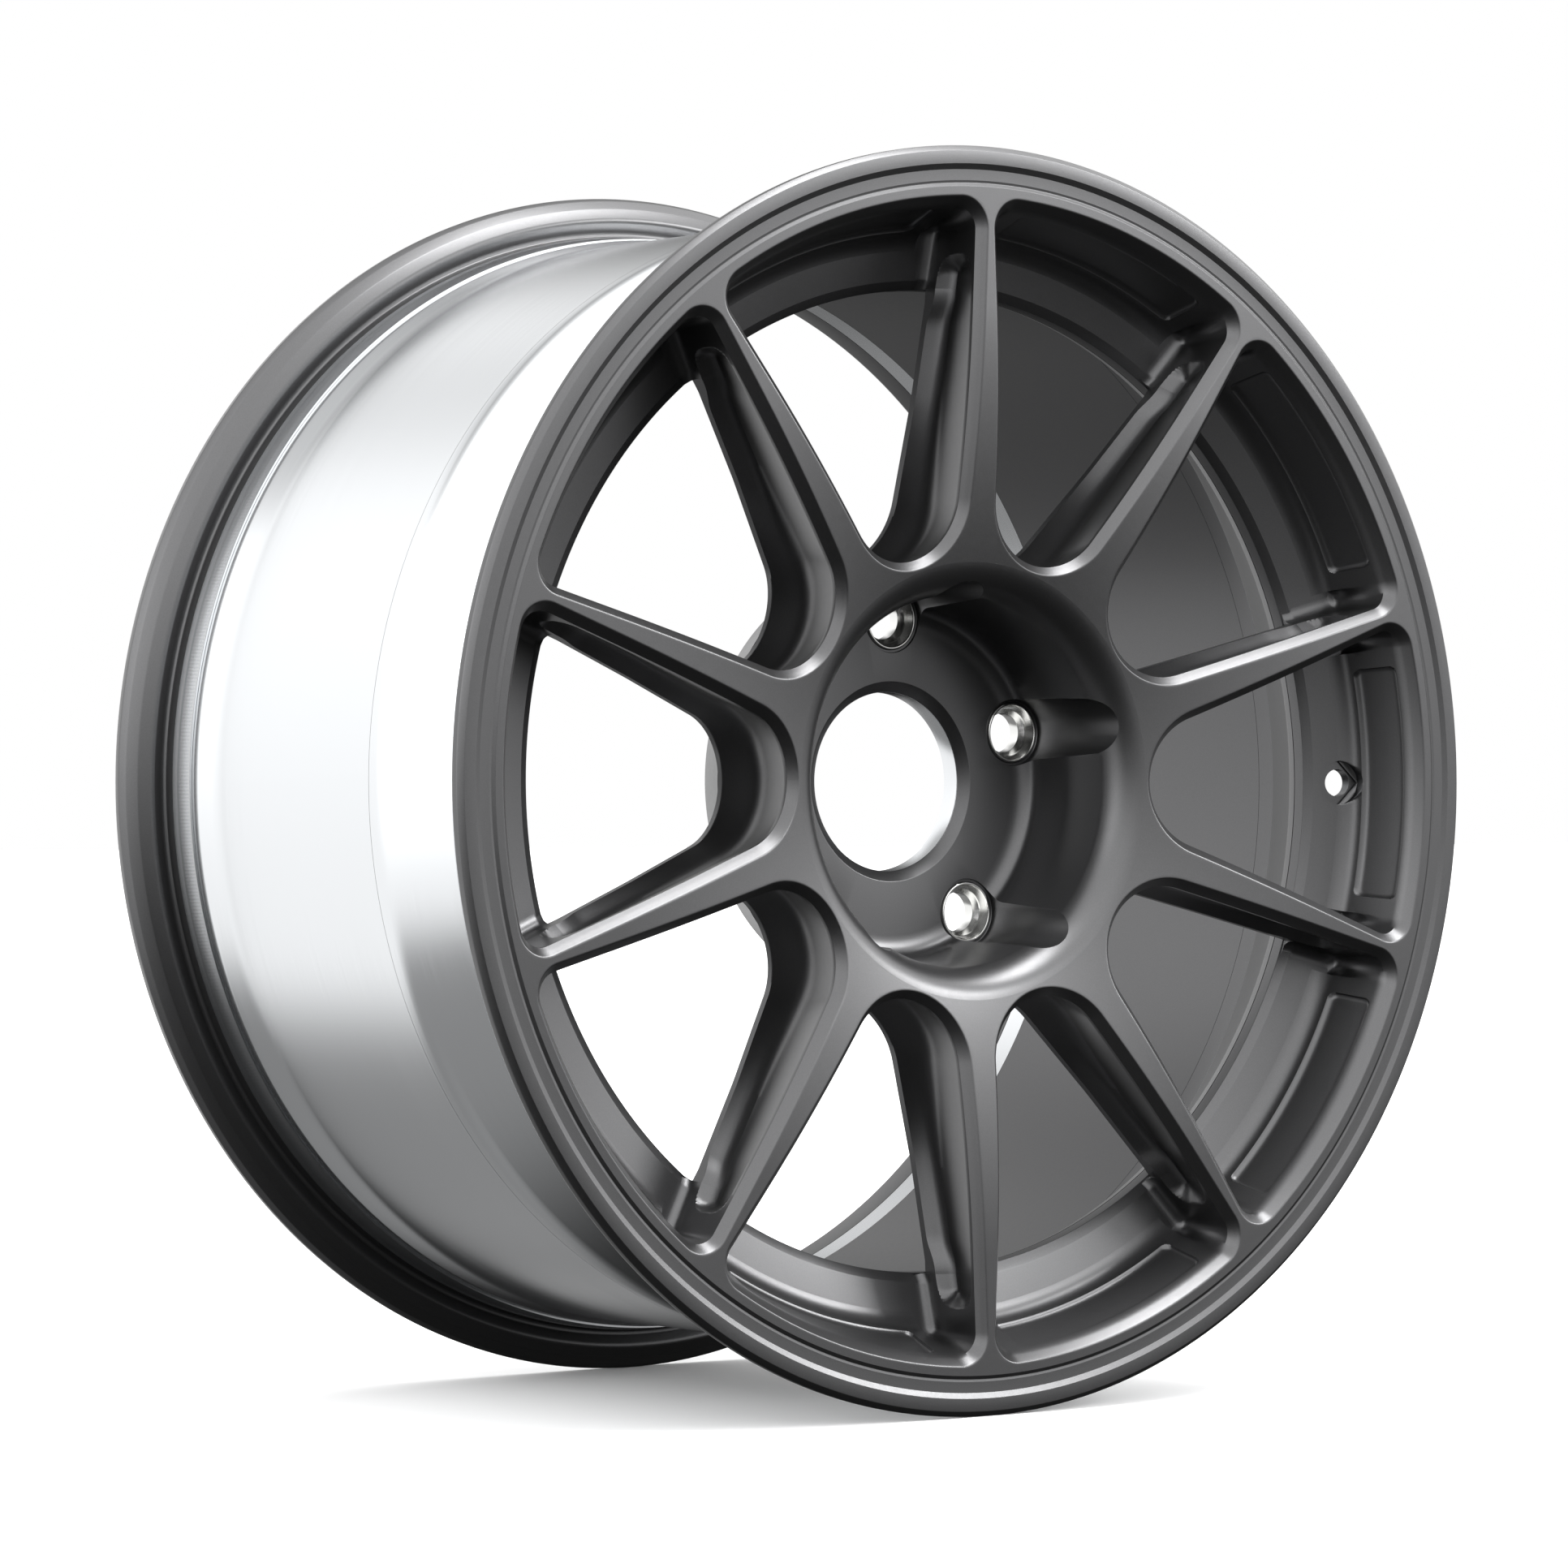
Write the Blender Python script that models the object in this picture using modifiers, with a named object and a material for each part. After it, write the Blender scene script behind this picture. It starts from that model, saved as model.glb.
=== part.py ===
"""Forged racing wheel, 18 x 9 inch, ten spokes, five-bolt hub with a deep centre bowl.

The wheel stands on its rim. Its axis is the world Y axis, its face looks towards -Y, and the origin is
on the axis, in the middle plane of the rim. Everything is modelled about a local Z axis, with the face
up, and one parent empty turns it on its side. Along the axis, "depth" is measured from the middle plane
towards the face. All lengths are in metres.
"""

import math

import bmesh
import bpy
from mathutils import Matrix, Vector

MM = 0.001
GAP = 0.4 * MM  # clearance between pieces that meet

# Rim: 18 inch bead seats, 9 inches between the bead faces.
RIM_RADIUS = 248.3 * MM
BEAD_RADIUS = 231.2 * MM
BEAD_FACE = 114.3 * MM
BEAD_TAPER = math.tan(math.radians(5))
FACE = 126.5 * MM
LIP_FACE = 126.9 * MM
FLANGE_BACK = LIP_FACE
LIP_GROOVE = 126.0 * MM
BARREL_OUTSIDE = 226.4 * MM
BARREL_INSIDE = 221.8 * MM
SEAT_FRONT = 97.7 * MM  # where the inner bead seat ends and the barrel begins
SEAT_BACK = 110.0 * MM
WELL_REAR = 38.5 * MM
RING_REAR = 98.0 * MM
WELL_RADIUS = 194.2 * MM
WELL_OUTSIDE = 201.4 * MM
WALL_BACK = 84.5 * MM

# Hub: 5 x 130 bolt circle, 71.6 mm bore, 50 mm offset.
BOLTS = 5
BOLT_CIRCLE = 130.0 * MM
BORE = 71.6 * MM
MOUNT_FACE = 50.0 * MM
PAD_FACE = 62.0 * MM
SEAT_FACE = 61.2 * MM
HUB_RADIUS = 93.0 * MM
HUB_CONE_EDGE = (89.8 * MM, 68.0 * MM)  # top of the cone behind the hub, clear of the window walls
LUG_POCKET_RADIUS = 13.6 * MM
LUG_SEAT_RADIUS = 12.9 * MM
LUG_CONE_RADIUS = 12.4 * MM
STUD_RADIUS = 8.0 * MM

# Spokes and the windows between them.
SPOKES = 10
HALF_PITCH = math.pi / SPOKES
SPOKE_NARROW_AT = 213.5 * MM
SPOKE_NARROW_HALF = 1.85 * MM
SPOKE_TAPER = 0.0403  # half width gained for each metre towards the hub
WINDOW_INNER = 87.3 * MM
WINDOW_OUTER = 230.0 * MM
WINDOW_CORNER = 12.0 * MM
BEVEL_WIDTH = 3.2 * MM
BEVEL_DEPTH = 3.8 * MM
DISH_START = 186.2 * MM
DISH = 0.9  # curvature of the spoke face inside DISH_START, in 1/m
CHANNEL_RADIUS = 12.0 * MM
CHANNEL_INSET = 7.5 * MM
CHANNEL_END = 200.0 * MM

# Valve hole, in the front wall of the well.
VALVE_RADIUS = 5.65 * MM
VALVE_SPOT_RADIUS = 9.0 * MM
VALVE_AT = (209.5 * MM, 94.2 * MM)
VALVE_TILT = math.radians(12)

RING_STEPS = 60
HUB_STEPS = 60
SEAT_STEPS = 16

PAINT = ("satin_anthracite_paint", (0.035, 0.036, 0.038), 0.42, 0.35)
BARE = ("machined_aluminium", (0.84, 0.85, 0.86), 0.22, 1.0)
SEAT = ("bare_lug_seat", (0.78, 0.77, 0.76), 0.25, 1.0)


# ---------------------------------------------------------------- scene and helpers

for old in list(bpy.data.objects):
    bpy.data.objects.remove(old, do_unlink=True)

parts = bpy.data.collections.new("forged_racing_wheel")
cutters = bpy.data.collections.new("cutters")
bpy.context.scene.collection.children.link(parts)
bpy.context.scene.collection.children.link(cutters)

wheel_axis = bpy.data.objects.new("wheel_axis", None)
wheel_axis.rotation_euler = (math.pi / 2, 0, 0)
parts.objects.link(wheel_axis)


def material(name, colour, roughness, metallic):
    made = bpy.data.materials.get(name)
    if made is None:
        made = bpy.data.materials.new(name)
        made.use_nodes = True
        shader = made.node_tree.nodes["Principled BSDF"]
        shader.inputs["Base Color"].default_value = (*colour, 1)
        shader.inputs["Roughness"].default_value = roughness
        shader.inputs["Metallic"].default_value = metallic
    return made


def add_part(name, mesh, finish):
    mesh.shade_smooth()
    mesh.set_sharp_from_angle(angle=math.radians(25))
    mesh.materials.append(material(*finish))
    piece = bpy.data.objects.new(name, mesh)
    piece.parent = wheel_axis
    parts.objects.link(piece)
    return piece


def add_cutter(name, mesh, turn=0.0):
    tool = bpy.data.objects.new(name, mesh)
    tool.parent = wheel_axis
    tool.rotation_euler = (0, 0, turn)
    tool.hide_render = True
    tool.display_type = "WIRE"
    cutters.objects.link(tool)
    return tool


def cut(piece, tool):
    boolean = piece.modifiers.new("cut " + tool.name, "BOOLEAN")
    boolean.operation = "DIFFERENCE"
    boolean.object = tool


def profile_mesh(name, outline):
    """A closed outline of (radius, depth) points, for the Screw modifier."""
    mesh = bpy.data.meshes.new(name)
    count = len(outline)
    mesh.from_pydata([(r, 0, z) for r, z in outline], [(i, (i + 1) % count) for i in range(count)], [])
    return mesh


def turn_profile(piece, steps):
    screw = piece.modifiers.new("turned", "SCREW")
    screw.steps = steps
    screw.render_steps = steps
    screw.use_merge_vertices = True
    screw.merge_threshold = 0.0001


def turned(name, outline, finish, steps):
    piece = add_part(name, profile_mesh(name, outline), finish)
    turn_profile(piece, steps)
    return piece


def loft_mesh(name, rows):
    """A closed solid through closed loops of equally many points."""
    shape = bmesh.new()
    loops = [[shape.verts.new(point) for point in row] for row in rows]
    count = len(rows[0])
    for low, high in zip(loops, loops[1:]):
        for i in range(count):
            j = (i + 1) % count
            shape.faces.new((low[i], low[j], high[j], high[i]))
    shape.faces.new(loops[0])
    shape.faces.new(loops[-1])
    bmesh.ops.recalc_face_normals(shape, faces=shape.faces)
    mesh = bpy.data.meshes.new(name)
    shape.to_mesh(mesh)
    shape.free()
    return mesh


def cylinder_mesh(name, radius, low, high, at, segments):
    shape = bmesh.new()
    place = Matrix.Translation((at, 0, (low + high) / 2))
    bmesh.ops.create_cone(
        shape,
        cap_ends=True,
        segments=segments,
        radius1=radius,
        radius2=radius,
        depth=high - low,
        matrix=place,
    )
    mesh = bpy.data.meshes.new(name)
    shape.to_mesh(mesh)
    shape.free()
    return mesh


def at_angle(radius, angle, depth):
    return (radius * math.cos(angle), radius * math.sin(angle), depth)


# ---------------------------------------------------------------- face and back of the spokes

BACK = (
    (0.0 * MM, 50.0 * MM),
    (84.4 * MM, 52.0 * MM),
    HUB_CONE_EDGE,
    (112.0 * MM, 74.5 * MM),
    (150.0 * MM, 84.0 * MM),
    (189.0 * MM, 91.4 * MM),
    (250.0 * MM, 92.6 * MM),
)


def face_depth(radius):
    """Flat near the rim, and dished towards the hub."""
    return FACE - DISH * max(0.0, DISH_START - radius) ** 2


def back_depth(radius):
    for (r0, z0), (r1, z1) in zip(BACK, BACK[1:]):
        if radius <= r1:
            return z0 + (z1 - z0) * (radius - r0) / (r1 - r0)
    return BACK[-1][1]


def window_outline(inset, sides_only=False):
    """Plan of a window whose middle is on +X: a round end at the hub, two straight spoke sides and a wide
    end at the rim with round corners. inset moves all but the rim end into the window."""
    half_at_axis = SPOKE_NARROW_HALF + SPOKE_TAPER * SPOKE_NARROW_AT
    slope_length = math.hypot(1, SPOKE_TAPER)
    spoke = Matrix.Rotation(HALF_PITCH, 2)

    # Round end: the circle that touches both spoke sides and reaches in to WINDOW_INNER.
    reach = (math.sin(HALF_PITCH) + SPOKE_TAPER * math.cos(HALF_PITCH)) / slope_length
    centre = (WINDOW_INNER - half_at_axis / slope_length) / (1 - reach)
    radius = centre - WINDOW_INNER - inset
    sweep = math.pi / 2 - HALF_PITCH - math.atan(SPOKE_TAPER)
    steps = 5
    half = []
    for i in range(steps + 1):
        angle = math.pi - sweep * i / steps
        half.append(Vector((centre + radius * math.cos(angle), radius * math.sin(angle))))

    # Spoke side, measured in the frame of the spoke that lies at +HALF_PITCH.
    def side(along, away):
        return spoke @ Vector((along, SPOKE_TAPER * along - half_at_axis - away * slope_length))

    if sides_only:
        half.extend(side(r, inset) for r in (150.0 * MM, CHANNEL_END))
    else:
        drop = half_at_axis + (inset + WINDOW_CORNER) * slope_length
        a = 1 + SPOKE_TAPER**2
        b = -2 * SPOKE_TAPER * drop
        c = drop**2 - (WINDOW_OUTER - WINDOW_CORNER) ** 2
        along = (-b + math.sqrt(b * b - 4 * a * c)) / (2 * a)
        corner = spoke @ Vector((along, SPOKE_TAPER * along - drop))
        half.extend(side(r, inset) for r in (150.0 * MM, 186.0 * MM))
        start = HALF_PITCH + math.atan(SPOKE_TAPER) + math.pi / 2
        end = math.atan2(corner.y, corner.x)
        turns = 4
        for i in range(turns + 1):
            angle = start + (end - start) * i / turns
            half.append(corner + WINDOW_CORNER * Vector((math.cos(angle), math.sin(angle))))
        for angle in (end / 2, 0.0):
            half.append(Vector((WINDOW_OUTER * math.cos(angle), WINDOW_OUTER * math.sin(angle))))
    inner = 1
    outer = len(half) if sides_only else len(half) - 1
    mirrored = [Vector((p.x, -p.y)) for p in reversed(half[inner:outer])]
    return (mirrored + half) if sides_only else (half + mirrored)


def window_tool():
    """Cuts the window: a bevel along its face edge, and straight walls under it."""
    above = 2.0 * MM
    spread = above * BEVEL_WIDTH / BEVEL_DEPTH
    ceiling = LIP_FACE + 10 * MM
    rows = [[(p.x, p.y, ceiling) for p in window_outline(-spread)]]
    for inset, drop in ((-spread, -above), (BEVEL_WIDTH, BEVEL_DEPTH)):
        rows.append([(p.x, p.y, face_depth(p.length) - drop) for p in window_outline(inset)])
    floor = MOUNT_FACE - 10 * MM
    rows.append([(p.x, p.y, floor) for p in window_outline(BEVEL_WIDTH)])
    return loft_mesh("window_tool", rows)


def channel_tool():
    """Cuts the channel that runs along the walls of a window, as a ball-nosed mill does."""
    curve = bpy.data.curves.new("channel_path", "CURVE")
    curve.dimensions = "3D"
    curve.bevel_depth = CHANNEL_RADIUS
    curve.bevel_resolution = 1
    curve.use_fill_caps = True
    path = window_outline(BEVEL_WIDTH + CHANNEL_INSET, sides_only=True)
    spline = curve.splines.new("POLY")
    spline.points.add(len(path) - 1)
    for point, p in zip(spline.points, path):
        middle = (face_depth(p.length) - BEVEL_DEPTH + back_depth(p.length)) / 2
        point.co = (p.x, p.y, middle, 1)
    guide = bpy.data.objects.new("channel_path", curve)
    cutters.objects.link(guide)
    graph = bpy.context.evaluated_depsgraph_get()
    mesh = bpy.data.meshes.new_from_object(guide.evaluated_get(graph))
    bpy.data.objects.remove(guide, do_unlink=True)
    shape = bmesh.new()
    shape.from_mesh(mesh)
    bmesh.ops.remove_doubles(shape, verts=shape.verts, dist=0.00001)
    bmesh.ops.recalc_face_normals(shape, faces=shape.faces)
    shape.to_mesh(mesh)
    shape.free()
    mesh.name = "channel_tool"
    return mesh


window_mesh = window_tool()
channel_mesh = channel_tool()
windows = []
channels = []
for number in range(SPOKES):
    middle = 2 * HALF_PITCH * number
    windows.append(add_cutter(f"window_tool_{number + 1:02d}", window_mesh, middle))
    channels.append(add_cutter(f"channel_tool_{number + 1:02d}", channel_mesh, middle))


# ---------------------------------------------------------------- rim


def seat_radius(depth):
    """Radius of a bead seat at this distance from the middle plane."""
    return BEAD_RADIUS - BEAD_TAPER * (BEAD_FACE - abs(depth))


# From the bead seat up the bead face and over the flange edge, for the face side.
FLANGE_CURL = (
    (232.0 * MM, 113.4 * MM),
    (234.0 * MM, BEAD_FACE),
    (238.5 * MM, BEAD_FACE),
    (243.0 * MM, 115.8 * MM),
    (246.6 * MM, 118.8 * MM),
    (RIM_RADIUS, 122.6 * MM),
)

# Flange edge at the back of the wheel, closed by a flat web down to the barrel.
turned(
    "inner_flange",
    [(seat_radius(SEAT_BACK), -SEAT_BACK)]
    + [(r, -z) for r, z in FLANGE_CURL]
    + [
        (247.4 * MM, -124.8 * MM),
        (244.6 * MM, -FLANGE_BACK),
        (227.0 * MM, -FLANGE_BACK),
        (BARREL_INSIDE, -122.0 * MM),
        (BARREL_INSIDE, -SEAT_BACK),
    ],
    PAINT,
    RING_STEPS,
)

# The band under the tyre bead, cut with fine grip lines on the real wheel.
turned(
    "inner_bead_seat",
    [
        (seat_radius(SEAT_FRONT), -SEAT_FRONT),
        (seat_radius(SEAT_BACK) - 0.1 * MM, -SEAT_BACK + GAP),
        (BARREL_INSIDE, -SEAT_BACK + GAP),
        (BARREL_INSIDE, -SEAT_FRONT),
    ],
    BARE,
    RING_STEPS,
)

# Straight tube that leaves room for the brake.
turned(
    "barrel",
    [
        (BARREL_OUTSIDE, WELL_REAR),
        (BARREL_OUTSIDE, -82.0 * MM),
        (228.4 * MM, -92.0 * MM),
        (228.4 * MM, -SEAT_FRONT + GAP),
        (BARREL_INSIDE, -SEAT_FRONT + GAP),
        (BARREL_INSIDE, WELL_REAR),
    ],
    BARE,
    RING_STEPS,
)

# The long slope of the drop centre and its floor.
turned(
    "well",
    [
        (WELL_OUTSIDE, WALL_BACK - GAP),
        (WELL_OUTSIDE, 78.5 * MM),
        (BARREL_OUTSIDE, WELL_REAR + GAP),
        (BARREL_INSIDE, WELL_REAR + GAP),
        (WELL_RADIUS + 1.0 * MM, 80.0 * MM),
        (WELL_RADIUS, 83.0 * MM),
        (WELL_RADIUS, WALL_BACK - GAP),
    ],
    BARE,
    RING_STEPS,
)

# The front wall of the drop centre, which carries the valve hole.
valve_wall = turned(
    "valve_wall",
    [
        (seat_radius(RING_REAR), RING_REAR),
        (228.4 * MM, 93.5 * MM),
        (222.0 * MM, 90.0 * MM),
        (206.0 * MM, 87.8 * MM),
        (WELL_OUTSIDE, WALL_BACK),
        (WELL_RADIUS, WALL_BACK),
        (WELL_RADIUS, 89.8 * MM),
        (197.9 * MM, 91.9 * MM),
        (213.0 * MM, 95.1 * MM),
        (214.8 * MM, RING_REAR),
    ],
    PAINT,
    RING_STEPS,
)

# Front bead seat, flange, stepped lip and the wall behind the lip.
outer_ring = turned(
    "outer_ring",
    [
        (240.8 * MM, LIP_FACE),
        (246.0 * MM, LIP_FACE),
        (RIM_RADIUS, 124.4 * MM),
    ]
    + list(reversed(FLANGE_CURL))
    + [
        (seat_radius(RING_REAR), RING_REAR + GAP),
        (215.0 * MM, RING_REAR + GAP),
        (218.0 * MM, 104.3 * MM),
        (225.0 * MM, 121.9 * MM),
        (228.5 * MM, FACE),
        (231.8 * MM, FACE),
        (234.2 * MM, LIP_GROOVE),
        (238.6 * MM, LIP_GROOVE),
    ],
    PAINT,
    RING_STEPS,
)

# Shallow recess in the wall behind the lip, one for each window.
RECESS_HALF = math.radians(12.5)
RECESS_SECTION = (
    (214.5 * MM, 99.8 * MM),
    (217.7 * MM, 99.8 * MM),
    (225.6 * MM, 119.8 * MM),
    (222.4 * MM, 119.8 * MM),
)
recess_rows = []
for step in range(5):
    angle = RECESS_HALF * (step / 2 - 1)
    recess_rows.append([at_angle(r, angle, z) for r, z in RECESS_SECTION])
recess_mesh = loft_mesh("recess_tool", recess_rows)
for number in range(SPOKES):
    tool = add_cutter(f"recess_tool_{number + 1:02d}", recess_mesh, 2 * HALF_PITCH * number)
    cut(outer_ring, tool)

# Valve hole and its spot face, tilted towards the axis.
valve_mesh = cylinder_mesh("valve_tool", VALVE_RADIUS, -15 * MM, 4 * MM, 0, 16)
spot_mesh = cylinder_mesh("valve_spot_tool", VALVE_SPOT_RADIUS, -0.8 * MM, 4 * MM, 0, 16)
for mesh in (valve_mesh, spot_mesh):
    place = Matrix.Translation((VALVE_AT[0], 0, VALVE_AT[1])) @ Matrix.Rotation(-VALVE_TILT, 4, "Y")
    mesh.transform(place)
    cut(valve_wall, add_cutter(mesh.name, mesh))


# ---------------------------------------------------------------- spokes

FACE_RADII = [r * MM for r in (105, 120, 140, 163)] + [DISH_START]
blank_section = (
    [
        (228.5 * MM - GAP, FACE),
        (225.0 * MM - GAP, 121.9 * MM),
        (218.0 * MM - GAP, 104.3 * MM),
        (214.8 * MM - GAP, RING_REAR + GAP),
        (212.7 * MM, 95.1 * MM + GAP),
        (200.5 * MM, 92.5 * MM + GAP),
    ]
    + [(r, back_depth(r)) for r in (189.0 * MM, 150.0 * MM, 112.0 * MM)]
    + [(HUB_RADIUS + GAP, back_depth(HUB_RADIUS + GAP))]
    + [(HUB_RADIUS + GAP, face_depth(HUB_RADIUS + GAP))]
    + [(r, face_depth(r)) for r in FACE_RADII]
)
SPOKE_ROWS = (-17.85, -12.0, -6.0, 0.0, 6.0, 12.0, 17.85)
blank_rows = [[at_angle(r, math.radians(a), z) for r, z in blank_section] for a in SPOKE_ROWS]

for number in range(SPOKES):
    angle = math.pi / 2 + 2 * HALF_PITCH * number
    spoke = add_part(f"spoke_{number + 1:02d}", loft_mesh("spoke_blank", blank_rows), PAINT)
    spoke.rotation_euler = (0, 0, angle)
    before = round((angle - HALF_PITCH) / (2 * HALF_PITCH)) % SPOKES
    after = (before + 1) % SPOKES
    for neighbour in (before, after):
        cut(spoke, windows[neighbour])
        cut(spoke, channels[neighbour])


# ---------------------------------------------------------------- hub

# Pad with the bolt holes, at the bottom of the bowl, and the bowl wall rolling over into the spokes.
hub = turned(
    "hub",
    [
        (HUB_RADIUS, face_depth(HUB_RADIUS)),
        (HUB_RADIUS, back_depth(HUB_RADIUS)),
        HUB_CONE_EDGE,
        (84.4 * MM, 52.0 * MM),
        (82.4 * MM, MOUNT_FACE),
        (BORE / 2, MOUNT_FACE),
        (BORE / 2, 59.0 * MM),
        (40.0 * MM, PAD_FACE),
        (61.6 * MM, PAD_FACE),
        (67.2 * MM, 63.9 * MM),
        (70.6 * MM, 68.4 * MM),
        (73.2 * MM, 104.5 * MM),
        (75.4 * MM, 110.2 * MM),
        (79.6 * MM, 114.8 * MM),
        (86.0 * MM, face_depth(86.0 * MM)),
    ],
    PAINT,
    HUB_STEPS,
)

# Half a step of turn, so that no corner of a bolt pocket or a window falls on an edge between two facets.
hub.rotation_euler = (0, 0, math.pi / HUB_STEPS)

pocket_mesh = cylinder_mesh("lug_pocket_tool", LUG_POCKET_RADIUS, SEAT_FACE, 130 * MM, BOLT_CIRCLE / 2, 16)
hole_mesh = cylinder_mesh(
    "lug_hole_tool", LUG_SEAT_RADIUS + GAP, MOUNT_FACE - 5 * MM, SEAT_FACE + 1 * MM, BOLT_CIRCLE / 2, 16
)
for number in range(BOLTS):
    angle = math.pi / 2 + 2 * math.pi * number / BOLTS
    cut(hub, add_cutter(f"lug_pocket_tool_{number + 1}", pocket_mesh, angle))
    cut(hub, add_cutter(f"lug_hole_tool_{number + 1}", hole_mesh, angle))
for tool in windows + channels:
    cut(hub, tool)

# Conical seats for the wheel nuts or bolts.
SEAT_SECTION = (
    (LUG_CONE_RADIUS, SEAT_FACE - GAP),
    (LUG_SEAT_RADIUS, SEAT_FACE - GAP - 0.4 * MM),
    (LUG_SEAT_RADIUS, MOUNT_FACE + GAP),
    (STUD_RADIUS, MOUNT_FACE + GAP),
    (STUD_RADIUS, 53.2 * MM),
)
for number in range(BOLTS):
    angle = math.pi / 2 + 2 * math.pi * number / BOLTS
    seat = turned(f"lug_seat_{number + 1}", SEAT_SECTION, SEAT, SEAT_STEPS)
    seat.location = (BOLT_CIRCLE / 2 * math.cos(angle), BOLT_CIRCLE / 2 * math.sin(angle), 0)
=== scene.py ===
# %% [markdown]
# A forged racing wheel
#
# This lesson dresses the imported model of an 18 x 9 inch forged wheel: ten slim spokes, a deep bowl with five
# bolt holes, a stepped lip, and a barrel left in bare aluminium on the tyre side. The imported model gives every
# place and size. Its solids are kept for physics, and finer pieces stand for them here.
#
# Everything is in metres. The wheel's axis is the world Y axis, its face looks towards -Y, and it stands on
# its rim. "Depth" is measured along the axis, from the middle plane of the rim towards the face.

import math

import bpy
from mathutils import Matrix, Vector


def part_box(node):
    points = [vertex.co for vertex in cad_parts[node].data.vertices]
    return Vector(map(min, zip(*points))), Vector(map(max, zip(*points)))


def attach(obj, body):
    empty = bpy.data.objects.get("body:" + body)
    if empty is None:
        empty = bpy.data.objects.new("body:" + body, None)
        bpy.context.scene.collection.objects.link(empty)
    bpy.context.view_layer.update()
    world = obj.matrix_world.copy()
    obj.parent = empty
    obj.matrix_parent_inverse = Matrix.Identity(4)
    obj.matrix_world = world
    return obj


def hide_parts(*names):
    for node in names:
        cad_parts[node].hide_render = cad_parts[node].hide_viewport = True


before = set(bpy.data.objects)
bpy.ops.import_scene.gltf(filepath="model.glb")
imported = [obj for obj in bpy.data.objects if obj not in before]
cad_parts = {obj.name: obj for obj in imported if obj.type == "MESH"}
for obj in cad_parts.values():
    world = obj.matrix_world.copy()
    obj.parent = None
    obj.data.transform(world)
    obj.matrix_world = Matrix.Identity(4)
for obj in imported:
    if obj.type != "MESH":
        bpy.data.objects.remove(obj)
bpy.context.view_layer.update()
print(len(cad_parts), "nodes in the packed model")

# %% [markdown]
# Where things are
#
# A maker reads sizes off a drawing. Here the imported nodes are the drawing: their boxes give the rim's radius,
# the depth of its face and the places of the bolt seats. The few sizes that a box can't give are named below.

# %% Sizes from the imported model
MM = 0.001
lip_low, lip_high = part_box("outer_ring")
RIM = lip_high.x
LIP_FACE = -lip_low.y
FACE = LIP_FACE - 0.4 * MM
WELL_BORE = 194.2 * MM
HUB_EDGE = 86.0 * MM
FACE_EDGE = 232.2 * MM

SPOKES = len([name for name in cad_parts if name.startswith("spoke_")])
HALF_PITCH = math.pi / SPOKES
seats = sorted(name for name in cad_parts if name.startswith("lug_seat_"))
print(f"rim radius {RIM / MM:.1f} mm, face at {FACE / MM:.1f} mm, {SPOKES} spokes, {len(seats)} bolt seats")


def to_world(x, y, depth):
    """The wheel is drawn face up; this lays its axis along -Y."""
    return Vector((x, -depth, y))


# %% [markdown]
# Painted forging
#
# A forged wheel is shot blasted and powder coated. A satin anthracite powder coat holds fine metal flake under a
# matt clear layer, so it looks near black away from the lights and mid grey towards them, with broad soft
# highlights and a very fine orange peel. The peel is about 2 mm from dimple to dimple and a few micrometres deep.
# A texture of noise on Object coordinates gives both, so nothing needs unwrapping.


# %% Material helpers
def linear(hex_colour):
    """sRGB hex to the linear colour that shaders use."""
    channels = [int(hex_colour[i : i + 2], 16) / 255 for i in (1, 3, 5)]
    bent = [c / 12.92 if c <= 0.04045 else ((c + 0.055) / 1.055) ** 2.4 for c in channels]
    return (*bent, 1)


def add_node(tree, kind, settings=None, links=None):
    """Adds a node, sets its properties and input values, and links inputs to other nodes' outputs."""
    made = tree.nodes.new(kind)
    for name, value in (settings or {}).items():
        if name in made.inputs:
            made.inputs[name].default_value = value
        else:
            setattr(made, name, value)
    for name, output in (links or {}).items():
        tree.links.new(output, made.inputs[name])
    return made


def new_material(name, base, metallic, roughness):
    made = bpy.data.materials.new(name)
    made.use_nodes = True
    shader = made.node_tree.nodes["Principled BSDF"]
    shader.inputs["Base Color"].default_value = linear(base)
    shader.inputs["Metallic"].default_value = metallic
    shader.inputs["Roughness"].default_value = roughness
    return made, made.node_tree, shader


# %% Satin anthracite powder coat
anthracite, tree, shader = new_material("satin_anthracite_powder_coat", "#5c5c5d", 0.9, 0.33)
shader.inputs["Coat Weight"].default_value = 0.25
shader.inputs["Coat Roughness"].default_value = 0.3
where = add_node(tree, "ShaderNodeTexCoord").outputs["Object"]
peel = add_node(tree, "ShaderNodeTexNoise", {"Scale": 1 / (2 * MM), "Detail": 2.0}, {"Vector": where})
flake = add_node(tree, "ShaderNodeTexNoise", {"Scale": 1 / (0.5 * MM), "Detail": 1.0}, {"Vector": where})
tone = add_node(tree, "ShaderNodeValToRGB", links={"Fac": flake.outputs["Fac"]})
tone.color_ramp.elements[0].color = linear("#575758")
tone.color_ramp.elements[1].color = linear("#616162")
gloss = add_node(tree, "ShaderNodeMapRange", {"To Min": 0.30, "To Max": 0.37}, {"Value": peel.outputs["Fac"]})
bump = add_node(tree, "ShaderNodeBump", {"Strength": 0.04, "Distance": 0.1 * MM}, {"Height": peel.outputs["Fac"]})
tree.links.new(tone.outputs["Color"], shader.inputs["Base Color"])
tree.links.new(gloss.outputs["Result"], shader.inputs["Roughness"])
tree.links.new(bump.outputs["Normal"], shader.inputs["Normal"])
print("made", anthracite.name)

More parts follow.
